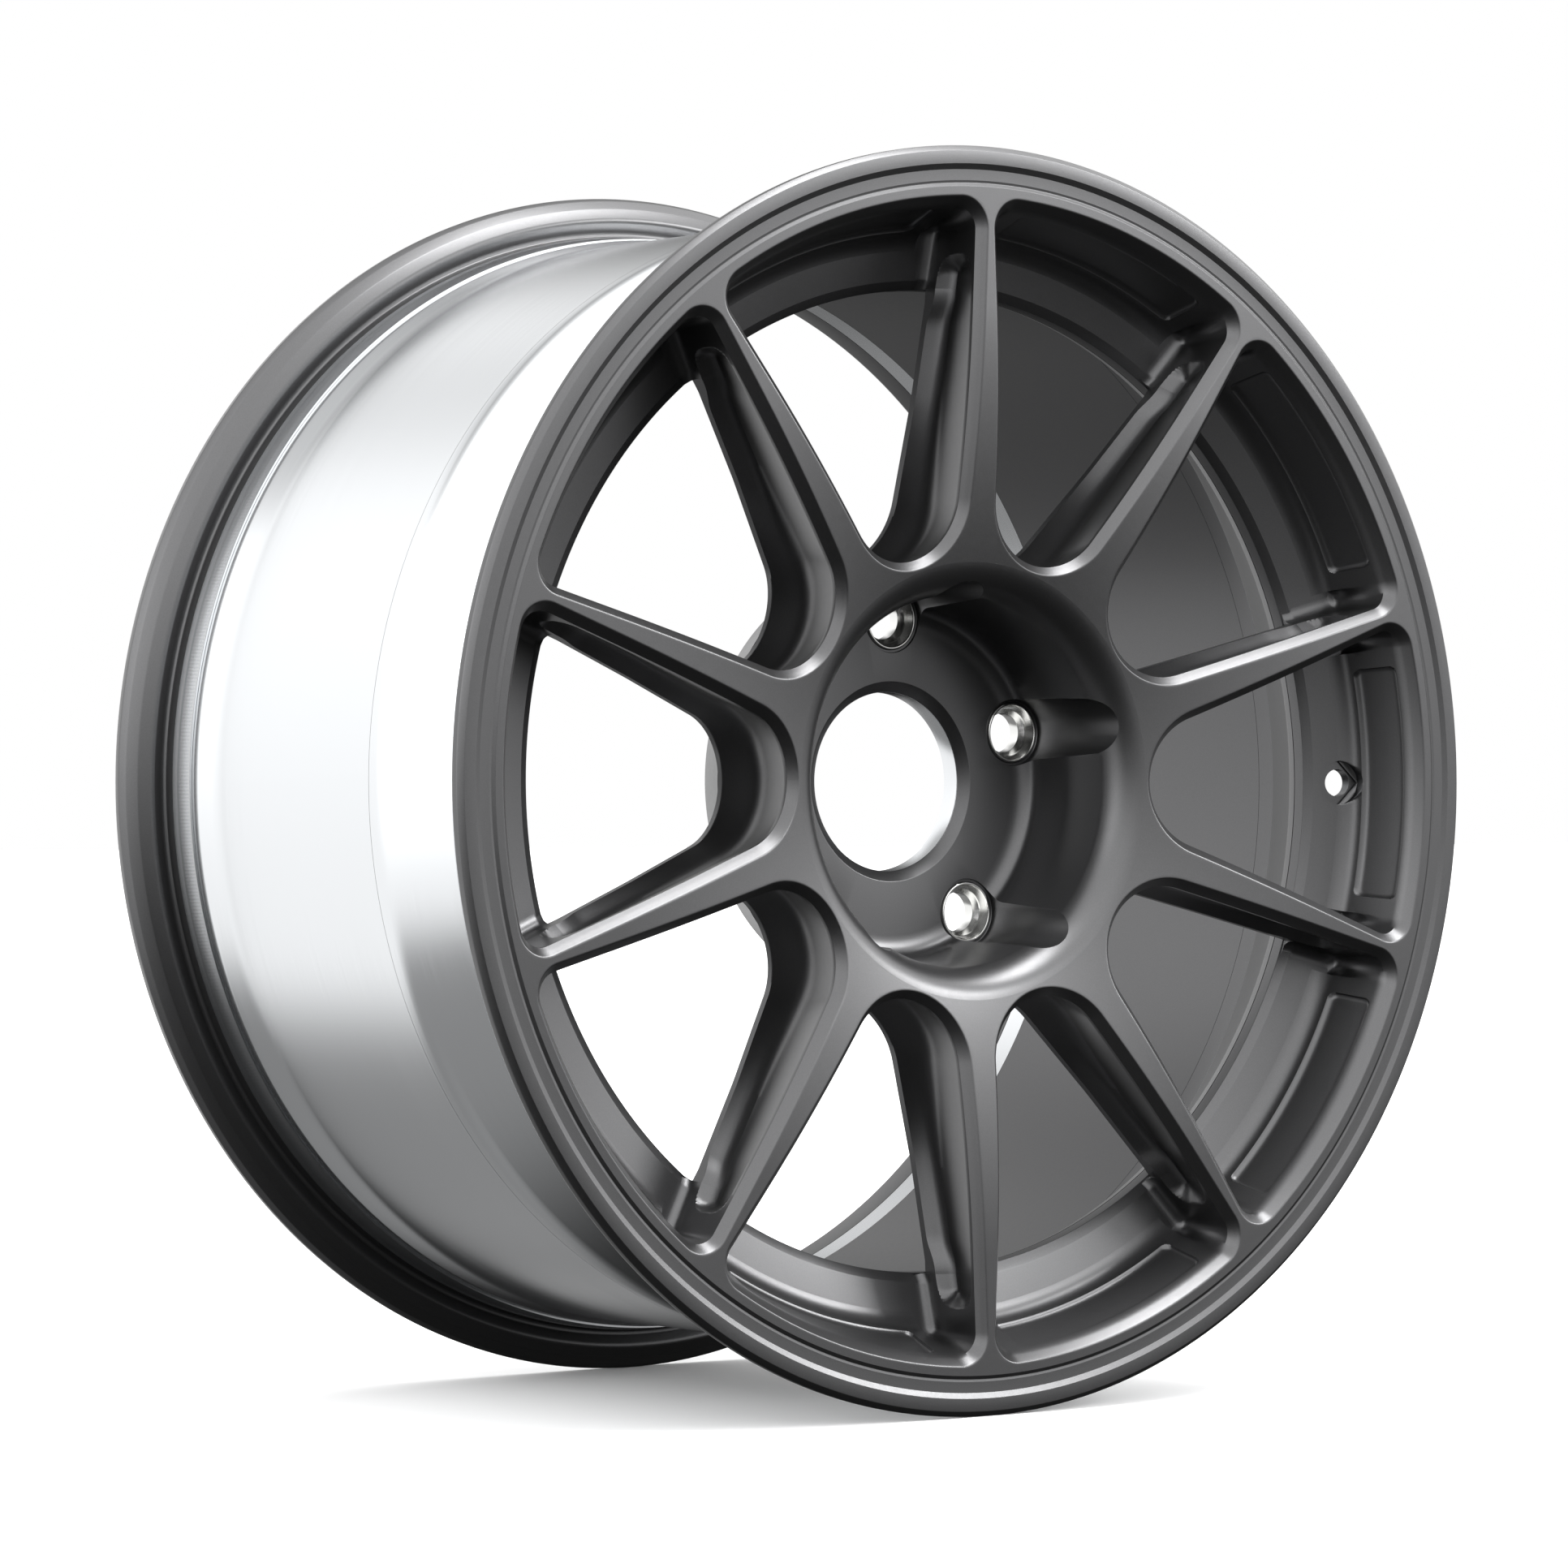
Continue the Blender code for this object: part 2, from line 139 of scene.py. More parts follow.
# %% [markdown]
# Bare turned aluminium
#
# The barrel is flow formed and then turned on a lathe. The tool leaves rings about 0.2 mm apart, far too fine to
# see one by one, but they spread a highlight along the barrel and give it faint bands. The rings follow the
# wheel's axis, so the noise is stretched round the wheel: it varies only with Y.

# %% Turned and knurled aluminium
turned, tree, shader = new_material("turned_aluminium", "#dfe1e3", 1.0, 0.2)
where = add_node(tree, "ShaderNodeTexCoord").outputs["Object"]
along = add_node(tree, "ShaderNodeMapping", {"Scale": (2.0, 1 / (1.2 * MM), 2.0)}, {"Vector": where})
rings = add_node(tree, "ShaderNodeTexNoise", {"Scale": 1.0, "Detail": 3.0}, {"Vector": along.outputs["Vector"]})
gloss = add_node(tree, "ShaderNodeMapRange", {"To Min": 0.17, "To Max": 0.25}, {"Value": rings.outputs["Fac"]})
bump = add_node(tree, "ShaderNodeBump", {"Strength": 0.03, "Distance": 0.05 * MM}, {"Height": rings.outputs["Fac"]})
tree.links.new(gloss.outputs["Result"], shader.inputs["Roughness"])
tree.links.new(bump.outputs["Normal"], shader.inputs["Normal"])

# The bolt seats are cut with a form tool: brighter, with rings too fine to spread the light.
seat_metal, tree, shader = new_material("form_cut_aluminium", "#e2e2e0", 1.0, 0.16)
where = add_node(tree, "ShaderNodeTexCoord").outputs["Object"]
marks = add_node(tree, "ShaderNodeTexNoise", {"Scale": 1 / (0.8 * MM), "Detail": 2.0}, {"Vector": where})
gloss = add_node(tree, "ShaderNodeMapRange", {"To Min": 0.12, "To Max": 0.22}, {"Value": marks.outputs["Fac"]})
tree.links.new(gloss.outputs["Result"], shader.inputs["Roughness"])
print("made", turned.name, "and", seat_metal.name)

# %% [markdown]
# Turned pieces
#
# Every ring of the rim is turned on a lathe, so each one is its own section swung round the axis. That could be a
# Screw modifier or a chain of scaled extrusions; the Spin operator is the closest to a lathe, and it leaves a plain
# mesh. Each corner of a section is given a radius, because a real edge always has one, and it is those small
# curves that catch the light.


# %% Section and spin helpers
def rounded(section, steps=3):
    """Replaces each corner (radius, depth, fillet) of a closed section, in mm, by a short arc."""
    count = len(section)
    points = []
    for i, (r, z, fillet) in enumerate(section):
        here = Vector((r, z))
        before = Vector(section[i - 1][:2]) - here
        after = Vector(section[(i + 1) % count][:2]) - here
        if fillet <= 0:
            points.append(here)
            continue
        reach = min(fillet / math.tan(before.angle(after) / 2), 0.48 * before.length, 0.48 * after.length)
        start = here + before.normalized() * reach
        end = here + after.normalized() * reach
        for k in range(steps + 1):
            t = k / steps
            points.append((1 - t) ** 2 * start + 2 * t * (1 - t) * here + t**2 * end)
    return points


def select_only(piece):
    bpy.ops.object.select_all(action="DESELECT")
    piece.select_set(True)
    bpy.context.view_layer.objects.active = piece


def give_finish(piece, finish, chosen=None):
    """The finish of a whole piece, or of the faces that are chosen by place and normal."""
    piece.data.materials.append(finish)
    if chosen:
        number = len(piece.data.materials) - 1
        for face in piece.data.polygons:
            if chosen(face.center, face.normal):
                face.material_index = number


def spin_piece(name, section, steps=256, sharp=30, at=(0, 0)):
    """A closed section in mm, drawn point by point and spun round the wheel's axis, or round a bolt's axis."""
    outline = [to_world(at[0] + r * MM, at[1], z * MM) for r, z in rounded(section)]
    bpy.ops.object.select_all(action="DESELECT")
    bpy.ops.mesh.primitive_plane_add(size=MM, location=(0, 0, 0))
    piece = bpy.context.object
    piece.name = piece.data.name = name
    bpy.ops.object.mode_set(mode="EDIT")
    bpy.ops.mesh.select_all(action="SELECT")
    bpy.ops.mesh.merge(type="CENTER")
    bpy.ops.transform.translate(value=outline[0])
    for here, there in zip(outline, outline[1:]):
        bpy.ops.mesh.extrude_vertices_move(TRANSFORM_OT_translate={"value": there - here})
    bpy.ops.object.mode_set(mode="OBJECT")
    last = len(piece.data.vertices) - 1
    for i, vertex in enumerate(piece.data.vertices):
        vertex.select = i in (0, last)
    bpy.ops.object.mode_set(mode="EDIT")
    bpy.ops.mesh.edge_face_add()
    bpy.ops.mesh.select_all(action="SELECT")
    centre = to_world(at[0], at[1], 0)
    bpy.ops.mesh.spin(steps=steps, angle=2 * math.pi, center=centre, axis=(0, 1, 0))
    bpy.ops.mesh.select_all(action="SELECT")
    bpy.ops.mesh.remove_doubles(threshold=0.002 * MM)
    bpy.ops.mesh.normals_make_consistent(inside=False)
    bpy.ops.object.mode_set(mode="OBJECT")
    bpy.ops.object.shade_smooth_by_angle(angle=math.radians(sharp))
    print(f"{name}: {len(piece.data.polygons)} faces")
    return piece


def outward(centre, normal):
    """True on faces that look away from the wheel's axis, where the tyre sits."""
    return centre.x * normal.x + centre.z * normal.z > 0


def belongs(piece, slot, *nodes):
    """The piece rides on the one body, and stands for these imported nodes."""
    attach(piece, "root")
    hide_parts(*nodes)


# %% [markdown]
# Back flange, bead seat and barrel
#
# The back flange keeps the tyre's inner bead in. Its tyre side has a low ridge, its edge is rolled over, and its
# back is flat. Paint covers it and ends just short of the bead seat. Both bead seats slope by 5 degrees, so the
# tyre wedges tight.

# %% Back flange
back_flange = spin_piece(
    "back_flange",
    [
        (221.8, -109.8, 0),
        (230.4, -109.8, 0),
        (231.4, -114.6, 2.0),
        (233.4, -114.6, 2.0),
        (238.2, -112.4, 3.0),
        (243.4, -115.4, 3.0),
        (247.0, -119.2, 2.0),
        (248.3, -122.4, 1.5),
        (247.8, -126.9, 2.5),
        (227.0, -126.9, 3.0),
        (221.8, -122.0, 2.0),
    ],
)
give_finish(back_flange, anthracite)
belongs(back_flange, "paint", "inner_flange")

# %% [markdown]
# The knurled bead seat
#
# Racing wheels have a knurl under the bead, so the tyre can't creep round the rim under braking. Here it is
# straight teeth about 1.5 mm apart and 0.35 mm deep. A bump map would lose them at the silhouette, so they are
# cut in the mesh: a fine spun band, then every second column of vertices is pressed in.

# %% Knurled band
TEETH = 990
TOOTH_DEPTH = 0.35 * MM
knurl = spin_piece(
    "knurled_bead_seat",
    [
        (221.8, -98.4, 0),
        (229.4, -98.4, 0),
        (229.6, -98.9, 0),
        (230.5, -106.5, 0),
        (230.4, -107.0, 0),
        (230.9, -109.4, 0),
        (221.8, -109.4, 0),
    ],
    steps=2 * TEETH,
)
column_step = math.pi / TEETH
for vertex in knurl.data.vertices:
    radius = math.hypot(vertex.co.x, vertex.co.z)
    column = round(math.atan2(vertex.co.z, vertex.co.x) / column_step)
    on_seat = 229.45 * MM < radius < 230.8 * MM and 98.7 * MM < vertex.co.y < 106.8 * MM
    if on_seat and column % 2:
        shrink = 1 - TOOTH_DEPTH / radius
        vertex.co.x *= shrink
        vertex.co.z *= shrink
give_finish(knurl, turned)
belongs(knurl, "bare_rim", "inner_bead_seat")

# %% [markdown]
# Barrel and drop centre
#
# The barrel is a thin tube that clears the brake. The drop centre is the deep ring that lets a tyre bead slip
# over the flange while the tyre is fitted. Both are bare and bright on the tyre side, and painted inside.

# %% Barrel
barrel = spin_piece(
    "barrel_tube",
    [
        (226.4, 30.0, 0),
        (226.4, -82.0, 40),
        (228.5, -94.0, 8),
        (228.6, -98.2, 0.3),
        (221.8, -98.2, 0),
        (221.8, 30.0, 0),
    ],
)
give_finish(barrel, anthracite)
give_finish(barrel, turned, outward)
belongs(barrel, "bare_rim", "barrel")

drop_centre = spin_piece(
    "drop_centre",
    [
        (201.4, 84.1, 0),
        (201.4, 78.5, 8),
        (226.4, 38.5, 30),
        (226.4, 30.2, 0),
        (221.8, 30.2, 0),
        (221.8, 38.9, 0.3),
        (195.2, 80.0, 6),
        (194.2, 84.1, 0),
    ],
)
give_finish(drop_centre, anthracite)
give_finish(drop_centre, turned, outward)
belongs(drop_centre, "bare_rim", "well")

# %% [markdown]
# Front lip
#
# The lip is what people see as the edge of the wheel: a flat outer ring, a step down to a second ring, and a
# step up to the ring that the spokes run into. Behind it are the front flange and bead seat. The paint stops
# at the flange's rolled edge.

# %% Front lip and bead seat
PAINT_EDGE = 120.8 * MM
front_lip = spin_piece(
    "front_lip",
    [
        (230.9, 126.40, 0),
        (232.3, 126.48, 0.3),
        (233.6, 125.75, 0.4),
        (234.6, 125.95, 0.3),
        (238.9, 125.95, 0.4),
        (241.1, 126.9, 0.5),
        (246.2, 126.9, 0.5),
        (248.3, 124.7, 0.8),
        (248.3, 122.0, 1.5),
        (246.6, 118.8, 2.0),
        (243.0, 115.6, 3.0),
        (238.5, 114.3, 4.0),
        (231.2, 114.0, 4.0),
        (229.8, 98.4, 0),
        (222.0, 98.4, 0),
        (229.0, 119.5, 0),
    ],
)
give_finish(front_lip, turned)
give_finish(front_lip, anthracite, lambda centre, normal: -centre.y > PAINT_EDGE)
belongs(front_lip, "paint", "outer_ring")

# %% [markdown]
# Valve wall
#
# Between the lip and the drop centre runs a nearly flat band, tilted by 12 degrees. The valve stem goes through
# it, in a hole with a round spot face that gives its nut a flat seat. Two cylinders cut them with Boolean
# modifiers, as two drills would.

# %% Valve wall with its hole
valve_wall = spin_piece(
    "valve_band",
    [
        (229.8, 98.0, 0),
        (228.4, 93.5, 3),
        (222.0, 90.0, 5),
        (206.0, 87.8, 4),
        (201.4, 84.5, 0),
        (194.2, 84.5, 0),
        (194.2, 89.8, 0.3),
        (197.9, 91.9, 0.3),
        (219.4, 96.35, 0),
        (219.4, 98.0, 0),
    ],
    steps=360,
)
give_finish(valve_wall, anthracite)
give_finish(valve_wall, turned, outward)

VALVE_AT = (209.5 * MM, 0, 94.2 * MM)
VALVE_TILT = math.radians(12)
VALVE_RADIUS = 5.65 * MM
SPOT_RADIUS = 9.0 * MM


def cut_with(piece, cutter):
    """Cuts the piece with another mesh, which is then removed."""
    select_only(piece)
    boolean = piece.modifiers.new("cut", "BOOLEAN")
    boolean.operation = "DIFFERENCE"
    boolean.solver = "EXACT"
    boolean.object = cutter
    bpy.ops.object.modifier_apply(modifier=boolean.name)
    bpy.data.objects.remove(cutter, do_unlink=True)


def valve_drill(radius, low, high):
    bpy.ops.object.select_all(action="DESELECT")
    middle = (low + high) / 2
    lean = math.sin(VALVE_TILT)
    x = VALVE_AT[0] - middle * lean
    depth = VALVE_AT[2] + middle * math.cos(VALVE_TILT)
    bpy.ops.mesh.primitive_cylinder_add(
        vertices=96,
        radius=radius,
        depth=high - low,
        location=to_world(x, 0, depth),
        rotation=Vector((-lean, -math.cos(VALVE_TILT), 0)).to_track_quat("Z", "Y").to_euler(),
    )
    drill = bpy.context.object
    drill.data.materials.append(anthracite)
    return drill


cut_with(valve_wall, valve_drill(SPOT_RADIUS, -0.9 * MM, 6 * MM))
cut_with(valve_wall, valve_drill(VALVE_RADIUS, -20 * MM, 4 * MM))
select_only(valve_wall)
bpy.ops.object.shade_smooth_by_angle(angle=math.radians(30))
belongs(valve_wall, "paint", "valve_wall")

# %% [markdown]
# Hub bowl
#
# The hub is a bowl: a flat pad that bolts to the car, a wall that climbs to the spokes, and a big round-over
# where it meets them. It is spun like the rings. The round-over and the hollow at the foot of the wall are
# free curves on the real forging, so they are drawn as curves and not as plain fillets.


# %% Hub section
DISH_START = 186.2 * MM
DISH = 0.9


def face_depth(radius):
    """The spoke face: flat near the rim, dished towards the hub."""
    return FACE - DISH * max(0.0, DISH_START - radius) ** 2


def curve_points(start, pull, end, steps):
    """Points of a curve that leaves start towards pull and arrives at end from pull."""
    start, pull, end = Vector(start), Vector(pull), Vector(end)
    points = []
    for k in range(steps + 1):
        t = k / steps
        points.append((1 - t) ** 2 * start + 2 * t * (1 - t) * pull + t**2 * end)
    return [(point.x, point.y, 0) for point in points]


hub_edge = HUB_EDGE / MM
edge_depth = face_depth(HUB_EDGE) / MM
edge_slope = 2 * DISH * (DISH_START - HUB_EDGE)
hub = spin_piece(
    "hub_bowl",
    [(87.0, edge_depth - 0.3, 0)]
    + curve_points((hub_edge, edge_depth), (77.2, edge_depth - 8.8 * edge_slope), (73.2, 104.5), 14)
    + [(70.9, 71.5, 0)]
    + curve_points((70.8, 69.5), (70.3, 62.0), (61.6, 62.0), 10)
    + [
        (40.0, 62.0, 0.5),
        (35.8, 58.6, 0.3),
        (35.8, 50.0, 0.5),
        (82.6, 50.0, 0.8),
        (84.4, 51.8, 0.8),
        (90.5, 68.9, 0),
        (84.6, 71.5, 0),
        (84.6, 112.0, 0),
    ],
    steps=360,
    sharp=25,
)

# %% [markdown]
# Bolt pockets
#
# A socket has to reach each nut, so a cutter with rounded corners is plunged down beside the wall. It leaves
# a round pocket in the pad and a half-round flute up the wall. The cutter is spun in the same way as a part.
# What stands in each pocket is a cone of 60 degrees, cut bright after painting, that centres the nut.

# %% Bolt pockets and seats
bolts = []
for name in seats:
    low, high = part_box(name)
    bolts.append(((low.x + high.x) / 2, (low.z + high.z) / 2, name))

for x, z, name in bolts:
    cutter = spin_piece(
        "pocket_cutter",
        [
            (0.0, 130.0, 0),
            (13.6, 130.0, 0),
            (13.6, 61.0, 2.0),
            (12.5, 61.0, 0),
            (12.5, 45.0, 0),
            (0.0, 45.0, 0),
        ],
        steps=64,
        at=(x, z),
    )
    cutter.data.materials.append(anthracite)
    cut_with(hub, cutter)

give_finish(hub, anthracite)


def in_bore(centre, normal):
    """True on the faces of the bore and its chamfer, which are turned after painting."""
    return math.hypot(centre.x, centre.z) < 36.2 * MM and -centre.y < 58.8 * MM


give_finish(hub, turned, in_bore)
select_only(hub)
bpy.ops.object.shade_smooth_by_angle(angle=math.radians(25))
belongs(hub, "paint", "hub")

for x, z, name in bolts:
    seat = spin_piece(
        "nut_" + name[4:],
        [
            (8.0, 50.4, 0.3),
            (12.4, 50.4, 0),
            (12.4, 60.9, 0),
            (12.0, 62.0, 0.5),
            (11.3, 62.0, 0.25),
            (11.0, 61.2, 0),
            (9.8, 58.0, 3.0),
            (8.0, 55.6, 0.3),
        ],
        steps=96,
        sharp=25,
        at=(x, z),
    )
    give_finish(seat, seat_metal)
    belongs(seat, "lug_seat", name)

# %% [markdown]
# Spokes
#
# Each spoke is an I-beam that tapers to the rim. Its front edge has a wide bevel that runs round the whole
# window, and under the bevel a deep channel is milled into each side to save weight. At the rim the sides turn
# into the wall behind the lip, with a shallow recess, and land on the valve band in a soft hollow.
#
# Booleans could cut these shapes, but the small curves where they meet would be lost. The section changes
# along the window's edge, and no operator sweeps a changing section, so one half spoke is lofted in code:
# a row of section points for each step along the window's edge, joined to the next row by faces. The other
# half is its mirror, and the ten spokes are turned copies.

# %% Shape of a window's edge, in mm, with the spoke along +X
TAPER = 0.0403
NARROW_AT, NARROW_HALF = 213.5, 1.85
LEAN = math.hypot(1, TAPER)
WINDOW_IN, WINDOW_OUT, CORNER = 87.3, 228.5, 12.0


def half_width(along):
    return NARROW_HALF + TAPER * (NARROW_AT - along)


def polar(radius, angle):
    return Vector((radius * math.cos(angle), radius * math.sin(angle)))


side_normal = Vector((TAPER, 1)) / LEAN
reach = (math.sin(HALF_PITCH) + TAPER * math.cos(HALF_PITCH)) / LEAN
end_at = (WINDOW_IN - half_width(0) / LEAN) / (1 - reach)
end_radius = end_at - WINDOW_IN
end_centre = polar(end_at, HALF_PITCH)
side_start = end_centre.x - end_radius * side_normal.x


def corner_centre(along):
    return Vector((along, half_width(along))) + CORNER * side_normal


low, high = 190.0, 225.0
for _ in range(40):
    side_end = (low + high) / 2
    if corner_centre(side_end).length < WINDOW_OUT - CORNER:
        low = side_end
    else:
        high = side_end
corner_at = corner_centre(side_end)
print(f"spoke side from {side_start:.1f} to {side_end:.1f} mm")

# %% [markdown]
# Rows along the edge
#
# Each row has a place on the window's edge, the direction into the window, the point on the far side of the
# face that it is joined to, and how much it belongs to the wall behind the lip (0 on the spoke, 1 on the wall).
# Rows lie close together where the shape changes fast, and further apart on straight runs.


# %% Rows
def spread(start, end, count):
    return [start + (end - start) * i / count for i in range(count)]


def smooth(t):
    t = min(max(t, 0.0), 1.0)
    return t * t * (3 - 2 * t)


SPINE_FADE = 25


def spine(along):
    """Where on the spoke's middle line a row on its side is joined."""
    return along - (side_start - hub_edge) * math.exp(-(along - side_start) / SPINE_FADE)


rows = []
ARC_ROWS = 36
arc_sweep = math.pi / 2 - HALF_PITCH - math.atan(TAPER)
for i in range(ARC_ROWS):
    t = i / ARC_ROWS
    out = polar(1, math.pi + HALF_PITCH + arc_sweep * t)
    rows.append((end_centre + end_radius * out, -out, polar(hub_edge, HALF_PITCH * (1 - t)), 0.0, False))

BAND_EDGE = WELL_BORE / MM
CHANNEL_END = 207.0
DENSE_FROM = 182
side_rows = spread(side_start, DENSE_FROM, 32) + spread(DENSE_FROM, BAND_EDGE, 12) + [BAND_EDGE]
for along in side_rows:
    rows.append((Vector((along, half_width(along))), side_normal, Vector((spine(along), 0)), 0.0, False))
side_rows = [BAND_EDGE] + spread(BAND_EDGE + 0.4, 198, 6) + spread(198, CHANNEL_END + 0.6, 24)
side_rows += spread(CHANNEL_END + 0.6, side_end, 5)
for along in side_rows:
    rows.append((Vector((along, half_width(along))), side_normal, Vector((spine(along), 0)), 0.0, True))

CORNER_ROWS = 24
face_edge = FACE_EDGE / MM
corner_from = math.atan2(-side_normal.y, -side_normal.x)
corner_to = math.atan2(corner_at.y, corner_at.x)
for i in range(CORNER_ROWS):
    t = i / CORNER_ROWS
    out = polar(1, corner_from + (corner_to - corner_from) * t)
    if t < 0.5:
        far = Vector((spine(side_end) + (face_edge - spine(side_end)) * t / 0.5, 0))
    else:
        far = polar(face_edge, corner_to * (t - 0.5) / 0.5)
    rows.append((corner_at + CORNER * out, -out, far, smooth(t), True))

RECESS_HALF = math.radians(12.5)
recess_end = HALF_PITCH - RECESS_HALF
recess_full = recess_end + 0.03
valve_side = HALF_PITCH - 0.05
angles = spread(corner_to, recess_end - 0.002, 4) + spread(recess_end - 0.002, recess_full, 16)
angles += spread(recess_full, valve_side, 9) + spread(valve_side, HALF_PITCH, 18) + [HALF_PITCH]
for angle in angles:
    out = polar(1, angle)
    rows.append((WINDOW_OUT * out, -out, face_edge * out, 1.0, True))
print(len(rows), "rows")

# %% [markdown]
# Section of the edge
#
# Every row has the same list of points, from the face down: a small round, the bevel, a narrow land, the
# channel or the recess, and the back edge or the hollow on to the valve band. The channel's bottom is two
# slopes that meet in a soft root, and its outer end is rounded, as a ball-nosed mill leaves it. Near the rim its
# lower edge lifts to clear the hollow, and its root lifts by the same amount, or the lower slope would close up.


# %% Section
BACK = ((0, 50), (90.5, 69.0), (112, 74.5), (150, 84), (189, 91.4), (250, 92.6))
BEVEL_WIDTH, BEVEL_DEPTH = 3.2, 3.8
CHANNEL_DEPTH = 4.9
FOOT = 6.0
LIFT_FROM = 180
CHAMFER_AT, CHAMFER_DEPTH, BAND_TILT = 197.9, 91.9, 0.207
RECESS_TOP, RECESS_BOTTOM = 119.3, 101.0
RECESS_RADIUS, RECESS_DEPTH = 221, 1.5


def back_depth(radius):
    for (r0, z0), (r1, z1) in zip(BACK, BACK[1:]):
        if radius <= r1:
            return z0 + (z1 - z0) * (radius - r0) / (r1 - r0)
    return BACK[-1][1]


def band_slope(radius):
    """The tilted band in front of the drop centre, without its chamfer."""
    return CHAMFER_DEPTH + (radius - CHAMFER_AT) * BAND_TILT


def band_depth(radius):
    """The same band with its chamfered inner edge."""
    if radius < CHAMFER_AT:
        return CHAMFER_DEPTH - (CHAMFER_AT - radius) * 2.1 / 3.7
    return band_slope(radius)


def soft_min(a, b, softness):
    """The lower of two slopes, rounded where they cross."""
    h = min(max(0.5 + 0.5 * (b - a) / softness, 0.0), 1.0)
    return b + (a - b) * h - softness * h * (1 - h)


def channel(z, z1, z2, root, along):
    """How far the channel goes into the spoke at this depth."""
    front = (z1 - z) * CHANNEL_DEPTH * 1.25 / (z1 - root)
    back = (z - z2) * CHANNEL_DEPTH * 1.25 / (root - z2)
    from_side = min(z1 - z, z - z2)
    turn = 8.0
    bite = turn - math.sqrt(max(turn**2 - max(turn - from_side, 0.0) ** 2, 0.0))
    end = (CHANNEL_END - bite - along) * 1.1
    inside = soft_min(soft_min(front, back, 3.0), end, 2.5)
    return max(inside, 0.0) if from_side > 1e-6 and end > 0 else 0.0


def recess(z, z1, z2, angle):
    """How deep the recess behind the lip is at this depth and angle from the middle of the window."""
    across = (RECESS_HALF - abs(angle)) * RECESS_RADIUS
    from_side = min(z1 - z, z - z2)
    if across <= 0 or from_side <= 0:
        return 0.0
    turn = 3.5
    if across < turn and from_side < turn:
        inside = turn - math.hypot(turn - across, turn - from_side)
    else:
        inside = min(across, from_side)
    t = min(max(inside / 2.2, 0.0), 1.0)
    return RECESS_DEPTH * math.sqrt(1 - (1 - t) ** 2)


MIDDLE_POINTS = 20
FOOT_POINTS = 9


def section(place, inward, wall, on_band):
    """The points (distance into the window, depth) of one row, from the face to the back edge or the band."""
    along = place.x
    angle = HALF_PITCH - math.atan2(place.y, place.x)
    bevel_width = BEVEL_WIDTH + 0.3 * wall
    bevel_depth = BEVEL_DEPTH + 0.8 * wall

    def face_at(inset):
        return face_depth((place + inward * inset).length * MM) / MM

    def blend(a, b):
        return a + (b - a) * wall

    points = [(-0.7, face_at(-0.7)), (-0.35, face_at(-0.35) - 0.02)]
    points += [(-0.12, face_at(-0.12) - 0.09), (0.1, face_at(0.1) - 0.26), (0.3, face_at(0.3) - 0.5)]
    for t in (0.4, 0.7, 1.0):
        points.append((bevel_width * t, face_at(bevel_width * t) - bevel_depth * t))
    z0 = face_at(bevel_width) - bevel_depth

    rear = place + inward * BEVEL_WIDTH
    floor = band_depth(rear.length) if on_band else back_depth(rear.length)
    rise = smooth((along - LIFT_FROM) / (BAND_EDGE - LIFT_FROM))
    if on_band:
        base = band_slope(rear.length)
    else:
        base = floor + (band_slope(BAND_EDGE) - floor) * rise
    z1 = blend(z0 - 1.7, RECESS_TOP)
    lift = (FOOT - 2.4) * rise
    z2 = blend(base + 3.4 + lift, RECESS_BOTTOM)
    root = z0 - (z0 - base) * (0.56 + 0.14 * smooth((along - 95) / 60)) + lift
    for k in range(MIDDLE_POINTS + 1):
        t = (1 - math.cos(math.pi * k / MIDDLE_POINTS)) / 2
        z = z1 + (z2 - z1) * t
        on_wall = bevel_width + (z0 - z) * 0.398
        if wall < 1:
            carved = channel(z, z1, z2, root, along) * (1 if wall == 0 else 0)
        else:
            carved = recess(z, z1, z2, angle)
        points.append((blend(bevel_width, on_wall) - carved, z))

    for k in range(FOOT_POINTS):
        t = k / (FOOT_POINTS - 1)
        if not on_band:
            drop = (z2 - floor) * min(t / 0.5, 1.0)
            curl = 0.6 * max(t - 0.5, 0) / 0.5
            points.append((BEVEL_WIDTH - curl, z2 - drop + (0.25 * (1 - curl / 0.6) if t > 0.3 else 0)))
            continue
        lean = (1 - t) ** 2, 2 * t * (1 - t), t**2
        flank = (BEVEL_WIDTH, floor + FOOT), (BEVEL_WIDTH, floor), (BEVEL_WIDTH + FOOT, floor)
        outer = (12.2, 100.0), (14.1, 95.45), (19.0, 94.3)
        x = [sum(w * p[0] for w, p in zip(lean, curve)) for curve in (flank, outer)]
        z = [sum(w * p[1] for w, p in zip(lean, curve)) for curve in (flank, outer)]
        foot = blend(*x)
        if 0 < wall < 1:
            foot = min(foot, CORNER - 0.3)
        here = (place + inward * foot).length
        depth = blend(*z)
        points.append((foot, depth if t < 1 else band_depth(here)))
    return points


# %% [markdown]
# Joining the rows
#
# A row goes from the middle of the face, over the edge, down the side and, on the spoke, round to the middle of
# the back. Its plan positions are straight lines, and the dish of the face comes from the depth of each point.

